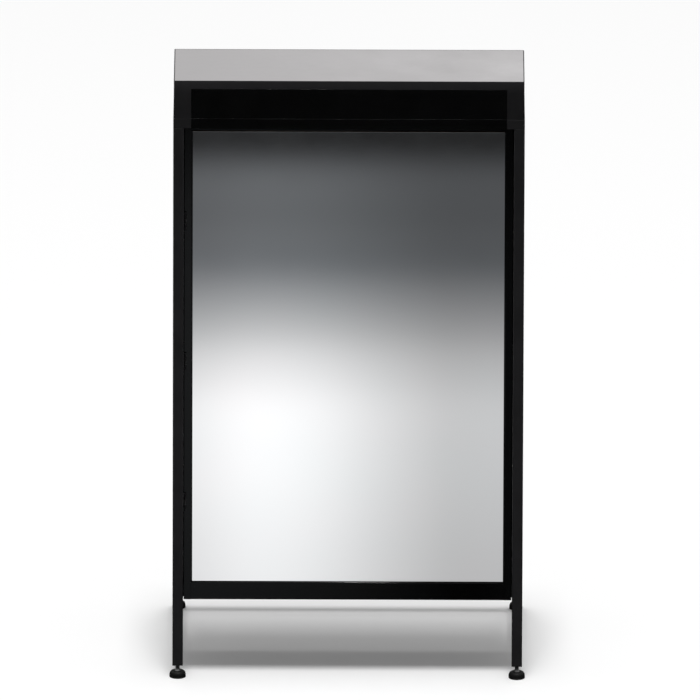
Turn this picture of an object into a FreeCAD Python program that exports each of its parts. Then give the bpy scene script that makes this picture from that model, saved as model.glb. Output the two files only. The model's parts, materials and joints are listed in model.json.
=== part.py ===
import FreeCAD, Part
import math
import os
from collections import namedtuple

# Free-standing mirror cabinet: a square-tube frame on four levelling feet, a hood over the top,
# a shallow cabinet with glass shelves between the legs and a mirror door hinged on its left.
#
# Millimetres, +Z up. The origin is on the floor, at the centre of the rectangle round the feet.
# The front faces -Y and the hinge side is at -X. Depths are counted backwards from the front
# faces of the front legs.

# Frame
FRAME_WIDTH = 668.0
TUBE = 20.0
TUBE_WALL = 1.5
TUBE_CORNER = 1.6
LEG_BOTTOM = 27.0
HEADER_BOTTOM = 1101.5
HEADER_TOP = HEADER_BOTTOM + TUBE
HOOD_DEPTH = 202.0
LOWER_RAIL_BOTTOM = 146.0
LOWER_RAIL_TOP = LOWER_RAIL_BOTTOM + TUBE
END_CAP_FLANGE = 1.5
END_CAP_LENGTH = 12.0

# Levelling feet
FOOT_RADIUS_FRONT = 15.5
FOOT_RADIUS_REAR = 12.5
FOOT_HEIGHT = 12.5
FOOT_SPACING = 417.0
FOOT_EDGE = 1.0
FOOT_RIM = 3.5
FOOT_CROWN_SHARE = 0.66
FOOT_SHOULDER_SHARE = 0.93
FOOT_SHOULDER_RISE = 0.62
STUD_RADIUS = 3.95
STUD_TOP = 45.0
STUD_COLLAR_RADIUS = 6.5
STUD_COLLAR_HEIGHT = 4.0
STUD_HEAD_ACROSS = 13.0
STUD_HEAD_BOTTOM = 3.0
STUD_HEAD_HEIGHT = 5.3
PLUG_FLANGE = 2.0
PLUG_HEIGHT = 16.0
PLUG_GAP = 0.1
PLUG_BORE_RADIUS = 4.3
NUT_ACROSS = 13.0
NUT_HEIGHT = 6.5
NUT_BORE_RADIUS = 4.0

# Hood
HOOD_WIDTH = 666.0
HOOD_TOP = 1196.5
HOOD_SHEET = 1.5
HOOD_CORNER = 3.0
HOOD_FLANGE = 18.0
LEDGE_WIDTH = 14.0
TOP_PANEL_THICKNESS = 8.0
TOP_PANEL_GAP = 0.3
RIB_WIDTH = 24.0
RIB_HEIGHT = 9.0
RIB_SHEET = 1.2
RIB_X = 110.0
FASCIA_HALF_WIDTH = 300.0
FASCIA_THICKNESS = 0.6
FASCIA_TOP = 1180.5
FASCIA_JOINT = 0.8
FASCIA_FOOT = 0.2
HOOD_SCREW_X = (-280.0, 0.0, 280.0)

# Carcass
BOARD = 15.0
BACK_BOARD = 6.0
SIDE_BOARD_END = 174.0
SOFFIT_SHEET = 1.5
SOFFIT_END = 70.0
SOFFIT_UPSTAND = 14.0
SHELF_THICKNESS = 6.0
SHELF_SIDE_GAP = 2.0
SHELF_DEPTHS = (66.0, 166.0)
SHELF_CORNER = 2.0
SHELF_UNDERSIDES = {"lower": 402.0, "middle": 628.5, "upper": 855.0}
PIN_DEPTHS = (86.0, 146.0)
PIN_RADIUS = 2.5
PIN_HOLE_DEPTH = 8.0
PIN_REACH = 10.0
PIN_COLLAR_RADIUS = 4.0
PIN_COLLAR = 1.5
PIN_HOLE_PITCH = 32.0
PIN_HOLE_STEPS = (-2, -1, 0, 1, 2)

# Door
DOOR_FRONT = 40.0
DOOR_THICKNESS = 20.0
DOOR_SIDE_GAP = 1.0
DOOR_BOTTOM = 145.6
DOOR_TOP = 1098.5
DOOR_REST_GAP = 1.5
STILE_WIDTH = 14.0
BOTTOM_RAIL_HEIGHT = 34.9
TOP_RAIL_HEIGHT = 13.5
PROFILE_WALL = 1.5
PROFILE_CORNER = 0.8
MIRROR_GAP = 2.0
MIRROR_THICKNESS = 3.0
MIRROR_RECESS = 0.4
BACKING_THICKNESS = 3.0
TAPE_THICKNESS = 1.0
TAPE_WIDTH = 8.0
LIP_WIDTH = 12.0
LIP_THICKNESS = 2.0
TAPE_INSET = 1.0
KEY_LENGTH = 28.0
KEY_SCREW_RISES = (10.0, 25.0)

# Hinges
HINGE_HEIGHTS = (342.0, 623.5, 905.0)
HINGE_HALF = 17.0
HINGE_KNUCKLE = 11.5
HINGE_PIN_RADIUS = 1.5
HINGE_PIN_CLEARANCE = 0.05
HINGE_PIN_STEP = 1.0
HINGE_COLLAR_RADIUS = 2.5
HINGE_COLLAR_HALF = 5.3
HINGE_RADIUS = 2.6
HINGE_LEAF = 0.8
HINGE_GAP = 0.4
HINGE_LEAF_LENGTH = 15.0
HINGE_LEAF_CLEARANCE = 0.5
HINGE_LEAF_SETBACK = 2.0
HINGE_HOLE_OFFSETS = (-10.0, 10.0)
HINGE_SCREW_SETBACK = 9.0
HINGE_RIVET_SETBACK = 10.0

# Catch and stops
CATCH_HEIGHTS = (580.0, 620.0)
CATCH_WIDTH = 14.0
CATCH_DEPTH = 14.6
CATCH_EAR = 3.0
CATCH_EAR_HEIGHT = 10.0
CATCH_POLE = 1.6
CATCH_POLE_WIDTH = 2.0
CATCH_POLE_X = (3.0, 9.0)
CATCH_POLE_MARGIN = 1.0
STRIKE_THICKNESS = 1.0
STRIKE_MARGIN = 0.6
STRIKE_CORNER = 1.5
CONTACT_GAP = 0.4
BUMPER_RADIUS = 4.0
BUMPER_X = 280.0

# Wall-strap nuts
ANCHOR_X = 250.0
ANCHOR_BORE_RADIUS = 2.5
ANCHOR_BODY_RADIUS = 4.5
ANCHOR_LENGTH = 12.0
ANCHOR_FLANGE_RADIUS = 6.5
ANCHOR_FLANGE = 1.0

# Screws: radii, except for the length and the height of the head
ScrewSize = namedtuple("ScrewSize", "length shank head head_height socket")
SOCKET_SHARE = 0.6
HOOD_SCREW = ScrewSize(12.0, 2.5, 4.5, 2.4, 1.6)
PANEL_SCREW = ScrewSize(32.0, 2.0, 4.0, 2.6, 1.4)
PANEL_SCREW_ACCESS = 5.0
PANEL_SCREW_DEPTHS = (55.0, 140.0)
CARCASS_SCREW = ScrewSize(45.0, 2.4, 3.6, 1.5, 1.5)
CARCASS_SCREW_DEPTHS = (85.0, 150.0)
BACK_SCREW = ScrewSize(20.0, 1.6, 3.4, 1.8, 1.3)
BACK_SCREW_EDGE = 7.5
BACK_SCREW_X = (-157.0, 0.0, 157.0)
BACK_SCREW_SPACES = 4
KEY_SCREW = ScrewSize(34.0, 2.0, 3.2, PROFILE_WALL, 1.2)
LEAF_RIVET = ScrewSize(4.0, 1.4, 2.4, HINGE_LEAF, 0.8)
LEAF_SCREW = ScrewSize(12.0, 1.4, 2.4, HINGE_LEAF, 1.0)
CATCH_SCREW = ScrewSize(13.0, 1.5, 3.0, 1.6, 1.2)

# Worked out from the above
OUTER_X = FRAME_WIDTH / 2
INNER_X = OUTER_X - TUBE
LEG_X = OUTER_X - TUBE / 2
FRONT_FOOT_DEPTH = TUBE / 2
REAR_FOOT_DEPTH = FRONT_FOOT_DEPTH + FOOT_SPACING
BASE_DEPTH = FOOT_RADIUS_FRONT + FOOT_SPACING + FOOT_RADIUS_REAR
FRONT = -BASE_DEPTH / 2 + FOOT_RADIUS_FRONT - TUBE / 2
PLUG_MIDDLE = LEG_BOTTOM + 6.0
REAR_TOP_DEPTH = HOOD_DEPTH - TUBE / 2
RAKE = (REAR_FOOT_DEPTH - REAR_TOP_DEPTH) / (HEADER_BOTTOM - PLUG_MIDDLE)
RAKED_TUBE = TUBE / math.cos(math.atan(RAKE))
RAKED_WALL = TUBE_WALL / math.cos(math.atan(RAKE))
BOARD_X = INNER_X + BOARD
BACK_BOARD_END = SIDE_BOARD_END + BACK_BOARD
CARCASS_FRONT = DOOR_FRONT + DOOR_THICKNESS + DOOR_REST_GAP
DOOR_X = INNER_X - DOOR_SIDE_GAP
STILE_X = DOOR_X - STILE_WIDTH
MIRROR_X = STILE_X - MIRROR_GAP
MIRROR_BOTTOM = DOOR_BOTTOM + BOTTOM_RAIL_HEIGHT + MIRROR_GAP
MIRROR_TOP = DOOR_TOP - TOP_RAIL_HEIGHT - MIRROR_GAP
BACKING_FRONT = DOOR_FRONT + MIRROR_RECESS + MIRROR_THICKNESS
TAPE_FRONT = BACKING_FRONT + BACKING_THICKNESS
LIP_FRONT = TAPE_FRONT + TAPE_THICKNESS
DOOR_BACK = DOOR_FRONT + DOOR_THICKNESS
HINGE_X = -INNER_X + HINGE_RADIUS + HINGE_GAP
HINGE_DEPTH = DOOR_FRONT - HINGE_RADIUS - HINGE_GAP
LEDGE_TOP = HOOD_TOP - TOP_PANEL_THICKNESS

AXES = {
    "x": FreeCAD.Vector(1, 0, 0),
    "y": FreeCAD.Vector(0, 1, 0),
    "z": FreeCAD.Vector(0, 0, 1),
}


def point(x, depth, z):
    return FreeCAD.Vector(x, FRONT + depth, z)


def block(across, depth, height):
    """A box from (low, high) pairs."""
    size = [high - low for low, high in (across, depth, height)]
    return Part.makeBox(*size, point(across[0], depth[0], height[0]))


def softened(shape, axis, radius):
    """Rounds the edges that run along one axis."""
    along = AXES[axis]
    edges = []
    for edge in shape.Edges:
        ends = edge.Vertexes[1].Point - edge.Vertexes[0].Point
        if ends.cross(along).Length < 1e-6:
            edges.append(edge)
    return shape.makeFillet(radius, edges)


def grown(span, amount):
    return (span[0] - amount, span[1] + amount)


def tube(across, depth, height, axis):
    """A straight square tube along one axis, with open ends."""
    outer = softened(block(across, depth, height), axis, TUBE_CORNER)
    spans = {"x": across, "y": depth, "z": height}
    inner = [grown(span, TUBE if name == axis else -TUBE_WALL) for name, span in spans.items()]
    return outer.cut(block(*inner))


def rod(start, axis, length, radius):
    direction = AXES[axis] if length > 0 else AXES[axis] * -1
    return Part.makeCylinder(radius, abs(length), start, direction)


def hexagon(centre, height, across_flats):
    """A hexagonal prism standing on centre, with flats at front and back."""
    corner = across_flats / 2 / math.cos(math.pi / 6)
    corners = []
    for turn in range(7):
        angle = math.pi / 3 * turn
        corners.append(centre + FreeCAD.Vector(corner * math.cos(angle), corner * math.sin(angle), 0))
    return Part.Face(Part.makePolygon(corners)).extrude(FreeCAD.Vector(0, 0, height))


def mirrored(shape):
    return shape.mirror(FreeCAD.Vector(0, 0, 0), AXES["x"])


def both_sides(shape):
    return [mirrored(shape), shape]


def joined(first, *others):
    return first.fuse(list(others)).removeSplitter()


def save(name, *solids):
    shape = solids[0] if len(solids) == 1 else Part.Compound(list(solids))
    for solid in shape.Solids:
        if not solid.isValid():
            raise ValueError(name + " has a faulty solid")
    shape.exportStep("parts/" + name + ".step")


def save_pairs(name, shapes):
    """Saves each right-hand shape with its twin on the left."""
    save(name, *[twin for shape in shapes for twin in both_sides(shape)])


class Screw:
    """A screw whose head stands on start and whose shank runs along the axis, forwards or backwards."""

    def __init__(self, start, axis, way, size):
        rim = start + AXES[axis] * (-way * size.head_height)
        shank = rod(start, axis, way * size.length, size.shank)
        self.blank = joined(shank, rod(start, axis, -way * size.head_height, size.head))
        self.solid = self.blank.cut(rod(rim, axis, way * size.head_height * SOCKET_SHARE, size.socket))


def blanks(screws):
    """The shapes that the screws' holes are cut with."""
    return [screw.blank for screw in screws]


def solids(screws):
    return [screw.solid for screw in screws]


# Frame


def raked_depth(z):
    """The depth of a rear leg's centre line at a height."""
    return REAR_TOP_DEPTH + (HEADER_BOTTOM - z) * RAKE


def raked_prism(bottom, top, across, along, corner):
    """A leaning bar cut level at both ends, on the right."""
    half_x = across / 2
    half_y = along / 2
    depth = raked_depth(bottom)
    flat = block((LEG_X - half_x, LEG_X + half_x), (depth - half_y, depth + half_y), (bottom, bottom + 1))
    base = softened(flat, "z", corner) if corner else flat
    lowest = min(base.Faces, key=lambda face: face.CenterOfMass.z)
    return lowest.extrude(FreeCAD.Vector(0, -RAKE * (top - bottom), top - bottom))


def rear_leg():
    outer = raked_prism(LEG_BOTTOM, HEADER_BOTTOM, TUBE, RAKED_TUBE, TUBE_CORNER)
    bore = raked_prism(LEG_BOTTOM, HEADER_BOTTOM, TUBE - 2 * TUBE_WALL, RAKED_TUBE - 2 * RAKED_WALL, 0)
    return outer.cut(bore)


def legs():
    front = tube((INNER_X, OUTER_X), (0, TUBE), (LEG_BOTTOM, HEADER_BOTTOM), "z")
    rear = rear_leg()
    save("front_leg_right", front)
    save("front_leg_left", mirrored(front))
    save("rear_leg_right", rear)
    save("rear_leg_left", mirrored(rear))


def header_rails(hood_screws, anchors):
    span = grown((-OUTER_X, OUTER_X), -END_CAP_FLANGE)
    height = (HEADER_BOTTOM, HEADER_TOP)
    front = tube(span, (0, TUBE), height, "x")
    rear = tube(span, (HOOD_DEPTH - TUBE, HOOD_DEPTH), height, "x")
    save("header_rail_front", front.cut(blanks(hood_screws)))
    save("header_rail_rear", rear.cut(blanks(hood_screws) + anchors))


def end_caps():
    caps = []
    for front in (0, HOOD_DEPTH - TUBE):
        depth = (front, front + TUBE)
        height = (HEADER_BOTTOM, HEADER_TOP)
        flange = softened(block((OUTER_X - END_CAP_FLANGE, OUTER_X), depth, height), "x", TUBE_CORNER)
        inside = grown(depth, -TUBE_WALL - PLUG_GAP)
        tongue = block(
            (OUTER_X - END_CAP_LENGTH, OUTER_X - END_CAP_FLANGE), inside, grown(height, -TUBE_WALL - PLUG_GAP)
        )
        caps += both_sides(joined(flange, tongue))
    save("rail_end_caps", *caps)


def side_rails(panel_screws):
    """The top rail of each side, and the lower rung that runs back to the raked rear leg."""
    top = tube((INNER_X, OUTER_X), (TUBE, HOOD_DEPTH - TUBE), (HEADER_BOTTOM, HEADER_TOP), "y")
    rung_end = raked_depth(LOWER_RAIL_BOTTOM)
    lower = tube((INNER_X, OUTER_X), (TUBE, rung_end), (LOWER_RAIL_BOTTOM, LOWER_RAIL_TOP), "y")
    leg = raked_prism(LEG_BOTTOM, HEADER_BOTTOM, TUBE, RAKED_TUBE, 0)
    lower = min(lower.cut(leg).Solids, key=lambda solid: solid.CenterOfMass.y)
    holes = blanks(panel_screws)
    for start, axis, way in panel_screw_places():
        holes.append(rod(start, axis, -way * TUBE, PANEL_SCREW_ACCESS))
    top = top.cut(holes)
    lower = lower.cut(holes)
    save("top_side_rail_right", top)
    save("top_side_rail_left", mirrored(top))
    save("lower_side_rail_right", lower)
    save("lower_side_rail_left", mirrored(lower))


def lower_rear_rail():
    middle = raked_depth(LOWER_RAIL_BOTTOM + TUBE / 2)
    span = (-INNER_X, INNER_X)
    rail = tube(span, (middle - TUBE / 2, middle + TUBE / 2), (LOWER_RAIL_BOTTOM, LOWER_RAIL_TOP), "x")
    save("lower_rear_rail", rail)


def soffit():
    """The folded strip that closes the gap above the door, behind the header rail."""
    span = (-INNER_X, INNER_X)
    flat = block(span, (TUBE, SOFFIT_END), (HEADER_BOTTOM, HEADER_BOTTOM + SOFFIT_SHEET))
    upstand = block(span, (TUBE, TUBE + SOFFIT_SHEET), (HEADER_BOTTOM, HEADER_BOTTOM + SOFFIT_UPSTAND))
    save("header_soffit", joined(flat, upstand))


def leg_ends():
    """The plugs in the bottom of the legs, each with a steel nut moulded into it."""
    plug_top = LEG_BOTTOM + PLUG_HEIGHT
    inner = TUBE - 2 * TUBE_WALL - 2 * PLUG_GAP
    inner_raked = RAKED_TUBE - 2 * RAKED_WALL - 2 * PLUG_GAP
    flange_span = (LEG_BOTTOM - PLUG_FLANGE, LEG_BOTTOM)
    front_flange = softened(block((INNER_X, OUTER_X), (0, TUBE), flange_span), "z", TUBE_CORNER)
    tongue_x = (LEG_X - inner / 2, LEG_X + inner / 2)
    tongue_depth = (FRONT_FOOT_DEPTH - inner / 2, FRONT_FOOT_DEPTH + inner / 2)
    front = joined(front_flange, block(tongue_x, tongue_depth, (LEG_BOTTOM, plug_top)))
    rear = joined(
        raked_prism(flange_span[0], flange_span[1], TUBE, RAKED_TUBE, TUBE_CORNER),
        raked_prism(LEG_BOTTOM, plug_top, inner, inner_raked, 0),
    )
    plugs = []
    nuts = []
    for plug, depth in ((front, FRONT_FOOT_DEPTH), (rear, REAR_FOOT_DEPTH)):
        nut_bottom = point(LEG_X, depth, PLUG_MIDDLE - NUT_HEIGHT / 2)
        outside = hexagon(nut_bottom, NUT_HEIGHT, NUT_ACROSS)
        bottom = point(LEG_X, depth, 0)
        plugs += both_sides(plug.cut([outside, rod(bottom, "z", plug_top * 2, PLUG_BORE_RADIUS)]))
        nuts += both_sides(outside.cut(rod(bottom, "z", plug_top * 2, NUT_BORE_RADIUS)))
    save("leg_plugs", *plugs)
    save("plug_nuts", *nuts)


def feet():
    """Levelling feet: a domed base moulded round the hexagon head of a threaded, collared stud."""
    rows = (("front", FRONT_FOOT_DEPTH, FOOT_RADIUS_FRONT), ("rear", REAR_FOOT_DEPTH, FOOT_RADIUS_REAR))
    for row, depth, radius in rows:
        for side, x in (("left", -LEG_X), ("right", LEG_X)):
            head = hexagon(point(x, depth, STUD_HEAD_BOTTOM), STUD_HEAD_HEIGHT, STUD_HEAD_ACROSS)
            shank = rod(point(x, depth, STUD_HEAD_BOTTOM), "z", STUD_TOP - STUD_HEAD_BOTTOM, STUD_RADIUS)
            collar_foot = point(x, depth, FOOT_HEIGHT)
            collar = Part.makeCone(STUD_COLLAR_RADIUS, STUD_RADIUS, STUD_COLLAR_HEIGHT, collar_foot)
            save("foot_base_" + row + "_" + side, foot_base(x, depth, radius).cut([head, shank]))
            save("foot_stud_" + row + "_" + side, joined(head, shank, collar))


def foot_base(x, depth, radius):
    crown = FOOT_CROWN_SHARE * radius
    outline = [(0, 0), (radius - FOOT_EDGE, 0), (radius, FOOT_EDGE), (radius, FOOT_RIM)]
    start = FreeCAD.Vector(radius, 0, FOOT_RIM)
    shoulder_rise = FOOT_RIM + FOOT_SHOULDER_RISE * (FOOT_HEIGHT - FOOT_RIM)
    middle = FreeCAD.Vector(FOOT_SHOULDER_SHARE * radius, 0, shoulder_rise)
    end = FreeCAD.Vector(crown, 0, FOOT_HEIGHT)
    lower = Part.makePolygon([FreeCAD.Vector(r, 0, z) for r, z in outline])
    dome = Part.Arc(start, middle, end).toShape()
    cap = Part.makePolygon([end, FreeCAD.Vector(0, 0, FOOT_HEIGHT), FreeCAD.Vector(0, 0, 0)])
    wire = Part.Wire(lower.Edges + [dome] + cap.Edges)
    base = Part.Face(wire).revolve(FreeCAD.Vector(0, 0, 0), AXES["z"], 360)
    base.translate(point(x, depth, 0))
    return base


# Hood


def ring(half_width, depth, height, width, corner):
    """A flat frame round the inside of the hood."""
    outer = softened(block((-half_width, half_width), depth, height), "z", corner)
    inner = block(grown((-half_width, half_width), -width), grown(depth, -width), height)
    return outer.cut(inner)


def hood(hood_screws):
    half = HOOD_WIDTH / 2
    depth = (0, HOOD_DEPTH)
    inside = grown(depth, -HOOD_SHEET)
    inner_half = half - HOOD_SHEET
    inner_corner = HOOD_CORNER - HOOD_SHEET
    outer = softened(block((-half, half), depth, (HEADER_TOP, HOOD_TOP)), "z", HOOD_CORNER)
    cavity = softened(block((-inner_half, inner_half), inside, (HEADER_TOP, HOOD_TOP)), "z", inner_corner)
    flange = ring(inner_half, inside, (HEADER_TOP, HEADER_TOP + HOOD_SHEET), HOOD_FLANGE, inner_corner)
    ledge = ring(inner_half, inside, (LEDGE_TOP - HOOD_SHEET, LEDGE_TOP), LEDGE_WIDTH, inner_corner)
    shell = joined(outer.cut(cavity), flange, ledge)
    save("hood_shell", shell.cut(blanks(hood_screws)))

    gap = HOOD_SHEET + TOP_PANEL_GAP
    lid = block((-half + gap, half - gap), grown(depth, -gap), (LEDGE_TOP, HOOD_TOP))
    save("top_panel", softened(lid, "z", inner_corner))

    rib_depth = grown(inside, -LEDGE_WIDTH)
    rib_span = (RIB_X - RIB_WIDTH / 2, RIB_X + RIB_WIDTH / 2)
    rib = block(rib_span, rib_depth, (LEDGE_TOP - RIB_HEIGHT, LEDGE_TOP))
    hollow = block(grown(rib_span, -RIB_SHEET), rib_depth, (LEDGE_TOP - RIB_HEIGHT, LEDGE_TOP - RIB_SHEET))
    save("top_panel_ribs", *both_sides(rib.cut(hollow)))


def fascia():
    """Two thin gloss strips, on the hood and on the header rail, either side of their joint."""
    across = (-FASCIA_HALF_WIDTH, FASCIA_HALF_WIDTH)
    depth = (-FASCIA_THICKNESS, 0)
    save("fascia_panel", block(across, depth, (HEADER_TOP + FASCIA_JOINT / 2, FASCIA_TOP)))
    save("header_trim", block(across, depth, (HEADER_BOTTOM + FASCIA_FOOT, HEADER_TOP - FASCIA_JOINT / 2)))


def place_hood_screws():
    screws = []
    for x in HOOD_SCREW_X:
        for depth in (TUBE / 2, HOOD_DEPTH - TUBE / 2):
            screws.append(Screw(point(x, depth, HEADER_TOP + HOOD_SHEET), "z", -1, HOOD_SCREW))
    return screws


def anchor_nuts():
    """Rivet nuts in the back of the rear header rail, for an anti-tip strap."""
    nuts = []
    blanks = []
    for x in (-ANCHOR_X, ANCHOR_X):
        rear = point(x, HOOD_DEPTH, HEADER_BOTTOM + TUBE / 2)
        body = rod(rear, "y", -ANCHOR_LENGTH, ANCHOR_BODY_RADIUS)
        blank = joined(body, rod(rear, "y", ANCHOR_FLANGE, ANCHOR_FLANGE_RADIUS))
        mouth = point(x, HOOD_DEPTH + 2 * ANCHOR_FLANGE, HEADER_BOTTOM + TUBE / 2)
        nuts.append(blank.cut(rod(mouth, "y", -2 * ANCHOR_LENGTH, ANCHOR_BORE_RADIUS)))
        blanks.append(body)
    save("anchor_nuts", *nuts)
    return blanks


# Carcass


def panel_screw_places():
    """Start, axis and way of the screws through the right-hand rails into the side board."""
    x = INNER_X + BOARD / 2
    places = []
    for depth in PANEL_SCREW_DEPTHS:
        places.append((point(x, depth, LOWER_RAIL_TOP - TUBE_WALL), "z", 1))
        places.append((point(x, depth, HEADER_BOTTOM + TUBE_WALL), "z", -1))
    return places


def place_panel_screws():
    return [Screw(start, axis, way, PANEL_SCREW) for start, axis, way in panel_screw_places()]


def place_carcass_screws():
    """Screws through the right side board into the ends of the bottom and ceiling boards."""
    screws = []
    for z in (LOWER_RAIL_TOP + BOARD / 2, HEADER_BOTTOM - BOARD / 2):
        for depth in CARCASS_SCREW_DEPTHS:
            start = point(BOARD_X - CARCASS_SCREW.head_height, depth, z)
            screws.append(Screw(start, "x", -1, CARCASS_SCREW))
    return screws


def place_back_screws():
    low = LOWER_RAIL_TOP + BACK_SCREW_EDGE
    high = HEADER_BOTTOM - BACK_SCREW_EDGE
    rows = [low + (high - low) * step / BACK_SCREW_SPACES for step in range(BACK_SCREW_SPACES + 1)]
    places = [(side * (BOARD_X - BACK_SCREW_EDGE), z) for side in (-1, 1) for z in rows]
    places += [(x, z) for x in BACK_SCREW_X for z in (low, high)]
    return [Screw(point(x, BACK_BOARD_END, z), "y", -1, BACK_SCREW) for x, z in places]


def pin_holes():
    holes = []
    for underside in SHELF_UNDERSIDES.values():
        for step in PIN_HOLE_STEPS:
            for depth in PIN_DEPTHS:
                z = underside - PIN_RADIUS + step * PIN_HOLE_PITCH
                holes.append(rod(point(INNER_X, depth, z), "x", PIN_HOLE_DEPTH, PIN_RADIUS))
    return holes


def boards(panel_screws, carcass_screws, back_screws, leaf_screws, catch_screws):
    side = block((INNER_X, BOARD_X), (TUBE, SIDE_BOARD_END), (LOWER_RAIL_TOP, HEADER_BOTTOM))
    side = side.cut(blanks(panel_screws + carcass_screws + back_screws) + pin_holes())
    save("side_panel_right", side.cut(blanks(catch_screws)))
    save("side_panel_left", mirrored(side).cut(blanks(leaf_screws)))

    between = (-INNER_X, INNER_X)
    depth = (CARCASS_FRONT, SIDE_BOARD_END)
    holes = blanks(back_screws)
    for blank in blanks(carcass_screws):
        holes += both_sides(blank)
    bottom = block(between, depth, (LOWER_RAIL_TOP, LOWER_RAIL_TOP + BOARD))
    ceiling = block(between, depth, (HEADER_BOTTOM - BOARD, HEADER_BOTTOM))
    save("bottom_panel", bottom.cut(holes))
    save("ceiling_panel", ceiling.cut(holes))
    back = block((-BOARD_X, BOARD_X), (SIDE_BOARD_END, BACK_BOARD_END), (LOWER_RAIL_TOP, HEADER_BOTTOM))
    save("back_panel", back.cut(blanks(back_screws)))


def shelves():
    half = INNER_X - SHELF_SIDE_GAP
    pins = []
    for name, underside in SHELF_UNDERSIDES.items():
        plate = block((-half, half), SHELF_DEPTHS, (underside, underside + SHELF_THICKNESS))
        save("glass_shelf_" + name, softened(plate, "z", SHELF_CORNER))
        for depth in PIN_DEPTHS:
            z = underside - PIN_RADIUS
            inner = point(INNER_X - PIN_REACH, depth, z)
            collar = point(INNER_X - PIN_COLLAR, depth, z)
            pin = joined(
                rod(inner, "x", PIN_REACH + PIN_HOLE_DEPTH, PIN_RADIUS),
                rod(collar, "x", PIN_COLLAR, PIN_COLLAR_RADIUS),
            )
            pins += both_sides(pin)
    save("shelf_pins", *pins)


# Door


def stile(outer_x, inner_x, lip_x):
    """A hollow right-hand upright with a lip behind the mirror."""
    wall = block((inner_x, outer_x), (DOOR_FRONT, DOOR_BACK), (DOOR_BOTTOM, DOOR_TOP))
    hollow = block(
        (inner_x + PROFILE_WALL, outer_x - PROFILE_WALL),
        (DOOR_FRONT + PROFILE_WALL, DOOR_BACK - PROFILE_WALL),
        (DOOR_BOTTOM, DOOR_TOP),
    )
    lip = block(
        (lip_x, inner_x),
        (LIP_FRONT, LIP_FRONT + LIP_THICKNESS),
        (DOOR_BOTTOM + BOTTOM_RAIL_HEIGHT, DOOR_TOP - TOP_RAIL_HEIGHT),
    )
    return joined(softened(wall, "z", PROFILE_CORNER).cut(hollow), lip)


def cross_rail(bottom, top, lip_bottom, lip_top):
    """A hollow rail between the stiles with a lip behind the mirror."""
    across = (-STILE_X, STILE_X)
    wall = softened(block(across, (DOOR_FRONT, DOOR_BACK), (bottom, top)), "x", PROFILE_CORNER)
    hollow = block(
        across,
        (DOOR_FRONT + PROFILE_WALL, DOOR_BACK - PROFILE_WALL),
        (bottom + PROFILE_WALL, top - PROFILE_WALL),
    )
    lip_x = STILE_X - LIP_WIDTH
    lip = block((-lip_x, lip_x), (LIP_FRONT, LIP_FRONT + LIP_THICKNESS), (lip_bottom, lip_top))
    return joined(wall.cut(hollow), lip)


def place_door_screws():
    """Screws through the right stile into the keys in the rails, their heads flush with its wall."""
    heights = [DOOR_BOTTOM + rise for rise in KEY_SCREW_RISES] + [DOOR_TOP - TOP_RAIL_HEIGHT / 2]
    start_x = DOOR_X - PROFILE_WALL
    middle = (DOOR_FRONT + DOOR_BACK) / 2
    return [Screw(point(start_x, middle, z), "x", -1, KEY_SCREW) for z in heights]


def corner_keys(door_screws):
    """Blocks in the ends of the stiles and rails that the corner screws bite into."""
    depth = grown((DOOR_FRONT, DOOR_BACK), -PROFILE_WALL)
    stile_span = (STILE_X + PROFILE_WALL, DOOR_X - PROFILE_WALL)
    rail_span = (STILE_X - KEY_LENGTH, STILE_X)
    rail_bottom = grown((DOOR_BOTTOM, DOOR_BOTTOM + BOTTOM_RAIL_HEIGHT), -PROFILE_WALL)
    rail_top = grown((DOOR_TOP - TOP_RAIL_HEIGHT, DOOR_TOP), -PROFILE_WALL)
    keys = [
        block(stile_span, depth, (DOOR_BOTTOM, DOOR_BOTTOM + KEY_LENGTH)),
        block(stile_span, depth, (DOOR_TOP - KEY_LENGTH, DOOR_TOP)),
        block(rail_span, depth, rail_bottom),
        block(rail_span, depth, rail_top),
    ]
    save_pairs("door_corner_keys", [key.cut(blanks(door_screws)) for key in keys])


def door_frame(leaf_rivets):
    door_screws = place_door_screws()
    right = stile(DOOR_X, STILE_X, STILE_X - LIP_WIDTH).cut(blanks(door_screws))
    save("door_stile_right", right)
    save("door_stile_left", mirrored(right).cut(blanks(leaf_rivets)))
    bottom_end = DOOR_BOTTOM + BOTTOM_RAIL_HEIGHT
    top_start = DOOR_TOP - TOP_RAIL_HEIGHT
    save("door_rail_bottom", cross_rail(DOOR_BOTTOM, bottom_end, bottom_end, bottom_end + LIP_WIDTH))
    save("door_rail_top", cross_rail(top_start, DOOR_TOP, top_start - LIP_WIDTH, top_start))
    corner_keys(door_screws)
    save_pairs("door_screws", solids(door_screws))


def mirror():
    across = (-MIRROR_X, MIRROR_X)
    height = (MIRROR_BOTTOM, MIRROR_TOP)
    save("mirror_glass", block(across, (DOOR_FRONT + MIRROR_RECESS, BACKING_FRONT), height))
    save("mirror_backing", block(across, (BACKING_FRONT, TAPE_FRONT), height))
    depth = (TAPE_FRONT, LIP_FRONT)
    side_x = MIRROR_X - TAPE_INSET
    low = MIRROR_BOTTOM + TAPE_INSET
    high = MIRROR_TOP - TAPE_INSET
    strips = both_sides(block((side_x - TAPE_WIDTH, side_x), depth, (low, high)))
    between = grown((-side_x, side_x), -TAPE_WIDTH - TAPE_INSET)
    strips.append(block(between, depth, (low, low + TAPE_WIDTH)))
    strips.append(block(between, depth, (high - TAPE_WIDTH, high)))
    save("mirror_tape", *strips)


def place_door_leaf_rivets():
    """Flush rivets that hold the hinge leaves to the left stile."""
    depth = DOOR_FRONT + HINGE_RIVET_SETBACK
    heights = [z + offset for z in HINGE_HEIGHTS for offset in HINGE_HOLE_OFFSETS]
    return [Screw(point(-DOOR_X, depth, z), "x", 1, LEAF_RIVET) for z in heights]


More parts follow.
